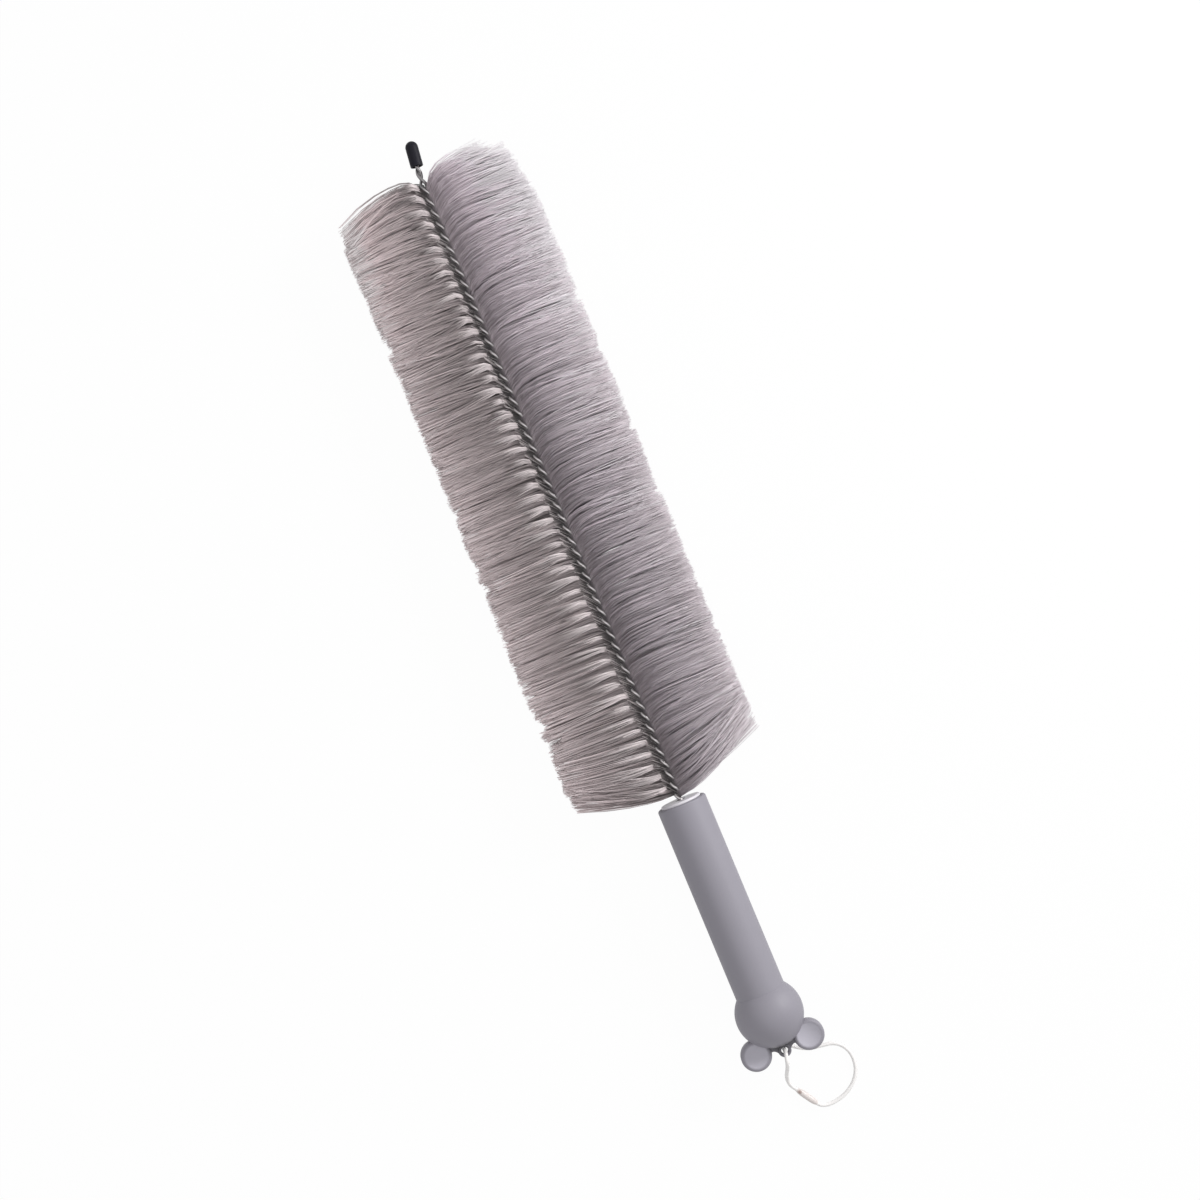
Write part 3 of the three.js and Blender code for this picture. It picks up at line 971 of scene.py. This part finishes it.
# Draws strands as thin tubes, each in one column of the colour map
def drawStrands(sums, look, given, count, owner, place, tone, thickness):
    tree = sums.tree
    strand, step, share = owner
    points = put(tree, "GeometryNodePoints", sums.times(given["Strands"], count), place).outputs[0]
    tone = sums.calc("MINIMUM", sums.calc("MAXIMUM", tone, 0), colourMap["last"])
    column = sums.calc("FLOOR", sums.times(tone, colourMap["columns"]))
    keep = tree.nodes.new("GeometryNodeCaptureAttribute")
    join(tree, keep.inputs["Geometry"], points)
    for label, value in (("Column", column), ("Share", share), ("Thickness", thickness)):
        keep.capture_items.new("FLOAT", label)
        join(tree, keep.inputs[label], value)
    curves = put(tree, "GeometryNodePointsToCurves", keep.outputs["Geometry"], strand, step).outputs[0]
    corner = tree.nodes.new("GeometryNodeCaptureAttribute")
    corner.capture_items.new("FLOAT", "Corner")
    join(tree, corner.inputs["Geometry"], ringCurve(tree, look))
    join(tree, corner.inputs["Corner"], put(tree, "GeometryNodeInputIndex").outputs[0])
    shape = (corner.outputs["Geometry"], keep.outputs["Thickness"])
    tube = put(tree, "GeometryNodeCurveToMesh", curves, *shape).outputs[0]
    edge = sums.plus(keep.outputs["Column"], colourMap["cornerFrom"])
    u = sums.calc("MULTIPLY_ADD", corner.outputs["Corner"], colourMap["cornerStep"], edge)
    u = sums.calc("DIVIDE", u, colourMap["columns"])
    v = sums.mapRange(keep.outputs["Share"], 0, 1, colourMap["rootAt"], colourMap["tipAt"])
    mapped = put(tree, "GeometryNodeStoreNamedAttribute", tube, data_type="FLOAT2", domain="CORNER")
    mapped.inputs["Name"].default_value = "OFBake"
    join(tree, mapped.inputs["Value"], put(tree, "ShaderNodeCombineXYZ", u, v).outputs[0])
    deliver(tree, mapped.outputs[0], given["Material"])


def bristleTree(look):
    inputs = [("From", "Float"), ("To", "Float"), ("Strands", "Int"), ("Side", "Float"), ("Seed", "Int")]
    inputs += [(label, "Float") for label in leftWing["values"]]
    tree = newTree("bristles", [*inputs, ("Material", "Material")])
    given = tree.nodes.new("NodeGroupInput").outputs
    sums = Sums(tree, given["Seed"])
    calc, times, plus, mapRange, chance, settle = (
        sums.calc, sums.times, sums.plus, sums.mapRange, sums.chance, sums.settle
    )
    varies = bristleSpread
    owner = strand, step, share = sums.strandPoints(look["points"], look["spacing"])

    # Place along the stem; some clumps crowd to one side of their half turn and make its wedge
    spread = calc("DIVIDE", plus(strand, chance(0, 1, strand, 1)), given["Strands"])
    loosely = mapRange(spread, 0, 1, given["From"], given["To"])
    halfTurns = calc("DIVIDE", calc("SUBTRACT", loosely, stem["brushFrom"]), stem["pitch"] / 2)
    tuft = calc("FLOOR", halfTurns)
    turn = calc("FRACT", halfTurns)
    clump = calc("FLOOR", calc("DIVIDE", strand, look["clump"]))
    lock = calc("FLOOR", calc("DIVIDE", strand, look["lock"]))
    wedges = times(given["Wedge"], chance(*varies["tuftWedge"], tuft, 26))
    wedge = calc("LESS_THAN", chance(0, 1, clump, 18), wedges)
    face = calc("SIGN", chance(*varies["clumpFace"], clump, 19))
    width = chance(*varies["tuftWidth"], tuft, 23)
    crowded = plus(times(face, plus(times(plus(turn, -1), width), 0.5)), 0.5)
    fanWidth = look["wedgeFanWidth"] * stem["pitch"]
    fan = times(wedge, calc("SUBTRACT", turn, crowded), settle(share, look["wedgeFan"]), fanWidth)
    turn = mapRange(wedge, 0, 1, turn, crowded)
    along = plus(times(plus(tuft, turn), stem["pitch"] / 2), stem["brushFrom"])
    upright = times(calc("COSINE", times(turn, math.pi)), -1)
    crest = times(calc("SIGN", upright), calc("POWER", calc("ABSOLUTE", upright), look["ridge"]))
    field = times(chance(-1, 1, clump, 13), given["Field"])
    up = mapRange(wedge, 0, 1, field, crest)
    near = mapRange(along, outline["nearTo"], outline["farFrom"], 1, 0)

    # How the ends of the brush are shaped
    nearHandle = mapRange(along, stem["brushFrom"], stem["brushFrom"] + outline["rootFade"], 1, 0)
    swept = calc("POWER", share, outline["sweepCurve"])
    sweep = times(calc("POWER", nearHandle, 2), given["Root Lean"], swept)
    domeFrom = stem["brushTo"] - outline["domeFade"]
    nearTip = calc("POWER", mapRange(along, domeFrom, stem["brushTo"], 0, 1), 2)
    rise = times(nearTip, settle(share, outline["riseWithin"]), given["Dome Rise"])
    drop = times(nearTip, calc("POWER", share, 2), given["Dome Drop"])
    cornerFrom = stem["brushTo"] - outline["cornerFade"]
    trim = calc("POWER", mapRange(along, cornerFrom, stem["brushTo"], 0, 1), 2)

    # Sideways, along and up
    reach = mapRange(near, 0, 1, given["Reach Far"], given["Reach Near"])
    ragged = plus(calc("POWER", chance(0, 1, clump, 2), 2), calc("POWER", chance(0, 1, lock, 27), 2))
    ragged = plus(times(ragged, given["Ragged"], 0.5), chance(*varies["strandShort"], strand, 16))
    notch = calc("SUBTRACT", 1, calc("COSINE", times(plus(turn, -outline["notchAt"]), 2 * math.pi)))
    scallop = times(notch, chance(*varies["tuftScallop"], tuft, 25), near, given["Scallop"])
    short = plus(ragged, scallop, times(trim, given["Corner"]))
    rootOut = mapRange(near, 0, 1, given["Root Far"], given["Root Near"])
    start = mapRange(wedge, 0, 1, look["from"], times(rootOut, chance(*varies["tuftRoot"], tuft, 24)))
    x = plus(start, times(share, calc("SUBTRACT", 1, short), calc("SUBTRACT", reach, start)))

    looser = times(nearHandle, nearHandle, outline["looseAtHandle"])
    loose = plus(mapRange(near, 0, 1, given["Loose Far"], given["Loose Near"]), looser)
    calm = times(mapRange(nearTip, 0, 1, 1, outline["calmAtTip"]), chance(*varies["tuftCalm"], tuft, 14))
    bowed = plus(settle(share, given["Lean Fade"]), -1)
    straight = times(plus(share, -1), outline["straightLean"])
    straight = mapRange(nearHandle, outline["straightFrom"], 1, bowed, straight)
    lean = times(given["Lean"], straight, chance(*varies["strandLean"], strand, 3))
    stray = times(plus(chance(-1, 1, clump, 4), chance(-1, 1, lock, 5)), loose, calm, share)
    fray = times(chance(*varies["strandFray"], strand, 15), share)
    wave = times(chance(*varies["clumpWave"], clump, 6), share, calc("SUBTRACT", 1, share))
    astray = plus(times(share, given["Wisp"]), outline["straggle"])
    wisp = times(nearTip, calc("POWER", chance(0, 1, strand, 29), outline["wispCurve"]), astray)
    y = plus(along, stem["mouth"], fan, lean, stray, fray, wave, sweep, rise, wisp, times(drop, -1))

    weak = mapRange(calc("FLOORED_MODULO", tuft, 2), 0, 1, 1, given["Weak Tuft"])
    weak = times(weak, chance(*varies["tuftHeight"], tuft, 7), look["wedgeCrest"])
    weak = mapRange(wedge, 0, 1, 1, weak)
    lift = times(weak, chance(*varies["strandHeight"], strand, 8), look["crest"])
    evenTo = mapRange(near, 0, 1, given["Even Far"], given["Even Near"])
    evenTo = times(evenTo, chance(*varies["tuftEven"], tuft, 20))
    even = mapRange(share, given["Even From"], evenTo, 0, 1)
    level = mapRange(wedge, 0, 1, field, times(face, calc("ABSOLUTE", field)))
    level = mapRange(even, 0, 1, up, level)
    outside = mapRange(share, times(calc("SUBTRACT", 1, wedge), look["clear"]), 1, 0, 1)
    climb = settle(outside, mapRange(wedge, 0, 1, given["Rise"], look["wedgeRise"]))
    fall = calc("SUBTRACT", 1, times(share, given["Fall"]))
    flutter = plus(chance(*varies["clumpFlutter"], clump, 9), chance(*varies["strandFlutter"], strand, 17))
    flutter = times(flutter, share)
    z = plus(stem["height"], times(up, look["core"]), times(level, lift, climb, fall), flutter)
    place = put(tree, "ShaderNodeCombineXYZ", times(given["Side"], x), y, z).outputs[0]

    # Tone: paler towards the tip end, random from clump to clump and lock to lock, with a few much paler
    # clumps as painted glints
    tone = mapRange(along, given["Tone From"], stem["brushTo"], given["Tone Near"], given["Tone Far"])
    glint = times(calc("POWER", chance(0, 1, clump, 12), look["glintRarity"]), look["glint"])
    uneven = plus(chance(*varies["clumpTone"], clump, 10), chance(*varies["lockTone"], lock, 28))
    tone = plus(tone, uneven, glint)
    # How far a wedge strand's painted highlight reaches picks its column in the last quarter of the map
    length = mapRange(along, stem["brushFrom"], stem["brushTo"], given["Wedge Highlight Near"], given["Wedge Highlight Far"])
    length = times(length, chance(*varies["tuftLength"], tuft, 21))
    length = plus(length, chance(*varies["clumpLength"], clump, 22))
    fieldColumn = mapRange(tone, 0, 1, 0, colourMap["fieldTo"])
    wedgeColumn = mapRange(length, 0, 1, colourMap["wedgeFrom"], colourMap["last"])
    tone = mapRange(wedge, 0, 1, fieldColumn, wedgeColumn)
    tapered = mapRange(share, 0, 1, 1, look["tipScale"])
    thickness = times(chance(*varies["strandThickness"], strand, 11), tapered)
    drawStrands(sums, look, given, look["points"], owner, place, tone, thickness)
    return tree


# Colour along the strand from the wing's stops: painted shade at the root, painted light towards the tip.
# Paler from column to column of the map; the last quarter of it holds the wedges, with a painted highlight
# for a length that grows from column to column
def bristleMaterial(look, wing):
    material, tree = newMaterial("bristle" + wing["name"])
    sums = Sums(tree)
    shader = tree.nodes["Principled BSDF"]
    shader.inputs["Roughness"].default_value = look["roughness"]
    spot = put(tree, "ShaderNodeUVMap", uv_map="OFBake").outputs[0]
    u, v, _ = put(tree, "ShaderNodeSeparateXYZ", spot).outputs
    ramp = put(tree, "ShaderNodeValToRGB", v)
    stops = ramp.color_ramp.elements
    for place, colour in wing["stops"]:
        stop = stops[-1] if place == 1 else stops[0] if place == 0 else stops.new(place)
        stop.color = (*colour, 1)
    wedgeFrom = colourMap["wedgeFrom"]
    wedge = sums.calc("GREATER_THAN", u, wedgeFrom)
    shade = sums.mapRange(wedge, 0, 1, sums.mapRange(u, 0, wedgeFrom, *look["shade"]), look["wedgeShade"])
    tinted = put(tree, "ShaderNodeVectorMath", ramp.outputs[0], operation="SCALE")
    join(tree, tinted.inputs["Scale"], shade)
    column = sums.calc("FLOOR", sums.times(u, colourMap["columns"]))
    varied = put(tree, "ShaderNodeTexWhiteNoise", noise_dimensions="1D")
    join(tree, varied.inputs["W"], column)
    # Painted highlight colour of the wedges, its strength varied from column to column
    paintedLight = put(tree, "ShaderNodeVectorMath", look["wedge"], operation="SCALE")
    join(tree, paintedLight.inputs["Scale"], sums.mapRange(varied.outputs["Value"], 0, 1, look["wedgeHighlightDim"], 1))
    length = sums.mapRange(u, wedgeFrom, 1, 0, 1)
    paintedHighlight = sums.times(wedge, sums.mapRange(v, sums.times(length, look["wedgeHighlightFade"]), length, 1, 0))
    mixed = mixColours(tree, paintedHighlight, tinted.outputs[0], paintedLight.outputs[0])
    held = put(tree, "ShaderNodeVectorMath", mixed, wing["brightest"], operation="MINIMUM")
    join(tree, shader.inputs["Base Color"], held.outputs[0])
    return material


def dressBrush(piece, index):
    rideStem(piece, index)
    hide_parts(*[f"bristles_{length}" for length in cadLengths(index)])
    print(piece.name, len(piece.data.polygons), "faces")


def makeBristles(look):
    tree = bristleTree(look)
    for wing in (leftWing, rightWing):
        material = bristleMaterial(look, wing)
        for index, (start, end) in enumerate(stemParts(stem["brushFrom"], stem["brushTo"])):
            values = {
                "From": start,
                "To": end,
                "Strands": round(look["strandsInMetre"] * (end - start)),
                "Side": wing["side"],
                "Seed": wing["seed"] + look["seedStep"] * index,
                "Material": material,
                **wing["values"],
            }
            bristles = runTree(f"bristles{wing['name']}{index + 1}", tree, values)
            dressBrush(bristles, index)


makeBristles(bristleLook)
print("bristles made")

# Root strands, which come out aslant from between the wires
rootLook = {
    **bristleLook,
    "name": "Root",
    "seed": 31,
    "brightest": (0.95, 0.86, 0.86),
    "endsBefore": 0.007,
    "strandsInMetre": 1500,
    "points": 6,
    "spacing": 1,
    "fromAcross": -0.005,
    "toAcross": 0.0006,
    "slant": (-1.43, -0.77),
    "over": (0.0006, 0.001),
    "climb": (0.00204, 0.0068),
    "dip": 0.0002,
    "tone": (0, 0.74),
    "thickness": (0.7, 1.4),
    # stops: paler where the strand leaves its wedge, near black where it goes in between the wires, as
    # painted shade
    "stops": [(0, (0.5, 0.455, 0.455)), (0.5, (0.4, 0.365, 0.365)), (1, (0.14, 0.13, 0.132))],
}


def rootTree(look):
    inputs = [("From", "Float"), ("To", "Float"), ("Strands", "Int"), ("Seed", "Int")]
    tree = newTree("rootStrands", [*inputs, ("Material", "Material")])
    given = tree.nodes.new("NodeGroupInput").outputs
    sums = Sums(tree, given["Seed"])
    owner = strand, step, share = sums.strandPoints(look["points"], look["spacing"])

    # Every second strand belongs to the underside
    face = sums.mapRange(sums.calc("FLOORED_MODULO", strand, 2), 0, 1, 1, -1)
    along = sums.mapRange(sums.chance(0, 1, strand, 1), 0, 1, given["From"], given["To"])
    across = sums.mapRange(share, 0, 1, look["fromAcross"], look["toAcross"])
    left = sums.calc("DIVIDE", sums.calc("MINIMUM", across, 0), look["fromAcross"])
    right = sums.calc("DIVIDE", sums.calc("MAXIMUM", across, 0), look["toAcross"])
    slant = sums.times(across, sums.chance(*look["slant"], strand, 2))
    climb = sums.times(left, left, sums.chance(*look["climb"], strand, 3))
    dip = sums.times(right, right, -look["dip"])
    up = sums.plus(sums.chance(*look["over"], strand, 4), climb, dip)
    y = sums.plus(along, slant, stem["mouth"])
    z = sums.plus(sums.times(up, face), stem["height"])
    place = put(tree, "ShaderNodeCombineXYZ", sums.times(across, face), y, z).outputs[0]
    thickness = sums.chance(*look["thickness"], strand, 5)
    tone = sums.chance(*look["tone"], strand, 6)
    drawStrands(sums, look, given, look["points"], owner, place, tone, thickness)
    return tree


def makeRoots(look):
    tree = rootTree(look)
    material = bristleMaterial(look, look)
    last = stem["brushTo"] - look["endsBefore"]
    for index, (start, end) in enumerate(stemParts(stem["brushFrom"], last)):
        values = {
            "From": start,
            "To": end,
            "Strands": round(look["strandsInMetre"] * (end - start)),
            "Seed": look["seed"] + index,
            "Material": material,
        }
        dressBrush(runTree(f"rootStrands{index + 1}", tree, values), index)


makeRoots(rootLook)
print("root strands made")

# Stage: white floor, soft light from above and a key light from the right of the picture
stageLook = {
    "floorHalf": 3,
    "floor": 0.8,
    "floorGlow": 0.97,
    "ambient": 0.55,
    "key": {"power": 7.4, "size": 0.3, "at": (0.735, 0.496, 0.462)},
    "top": {"power": 2.9, "size": 1.2, "at": (0.1, 0, 1.2)},
}


def addLamp(name, look):
    data = bpy.data.lights.new(name, "AREA")
    data.shape = "SQUARE"
    data.size = look["size"]
    data.energy = look["power"]
    lamp = bpy.data.objects.new(name, data)
    bpy.context.collection.objects.link(lamp)
    roll = Matrix.Rotation(cameraLook["roll"], 3, "Z")
    lamp.location = roll @ Vector(look["at"])
    lamp.rotation_mode = "QUATERNION"
    lamp.rotation_quaternion = (-lamp.location).to_track_quat("-Z", "Y")


# 1 for rays that should see plain white
def whiteRays(tree):
    path = tree.nodes.new("ShaderNodeLightPath").outputs
    white = path["Is Camera Ray"]
    for kind in ("Is Glossy Ray", "Is Transmission Ray"):
        white = put(tree, "ShaderNodeMath", white, path[kind], operation="MAXIMUM").outputs[0]
    return white


def makeStage(look):
    half = look["floorHalf"]
    corners = [(-half, -half, 0), (half, -half, 0), (half, half, 0), (-half, half, 0)]
    mesh = bpy.data.meshes.new("floor")
    mesh.from_pydata(corners, [], [(0, 1, 2, 3)])
    material, tree = newMaterial("floorWhite")
    tree.nodes.clear()
    plain = put(tree, "ShaderNodeBsdfDiffuse", (look["floor"],) * 3 + (1,)).outputs[0]
    glow = put(tree, "ShaderNodeEmission", (1, 1, 1, 1), 1).outputs[0]
    share = put(tree, "ShaderNodeMath", whiteRays(tree), look["floorGlow"], operation="MULTIPLY").outputs[0]
    both = put(tree, "ShaderNodeMixShader", share, plain, glow).outputs[0]
    put(tree, "ShaderNodeOutputMaterial", both)
    floor = meshObject("floor", mesh, material)

    world = bpy.data.worlds.new("world")
    bpy.context.scene.world = world
    world.use_nodes = True
    tree = world.node_tree
    strength = put(tree, "ShaderNodeMapRange", whiteRays(tree), 0, 1, look["ambient"], 1).outputs[0]
    back = tree.nodes["Background"]
    back.inputs["Color"].default_value = (1, 1, 1, 1)
    join(tree, back.inputs["Strength"], strength)

    addLamp("key", look["key"])
    addLamp("top", look["top"])
    bpy.context.scene.view_settings.view_transform = "Standard"


makeStage(stageLook)
print("stage made")
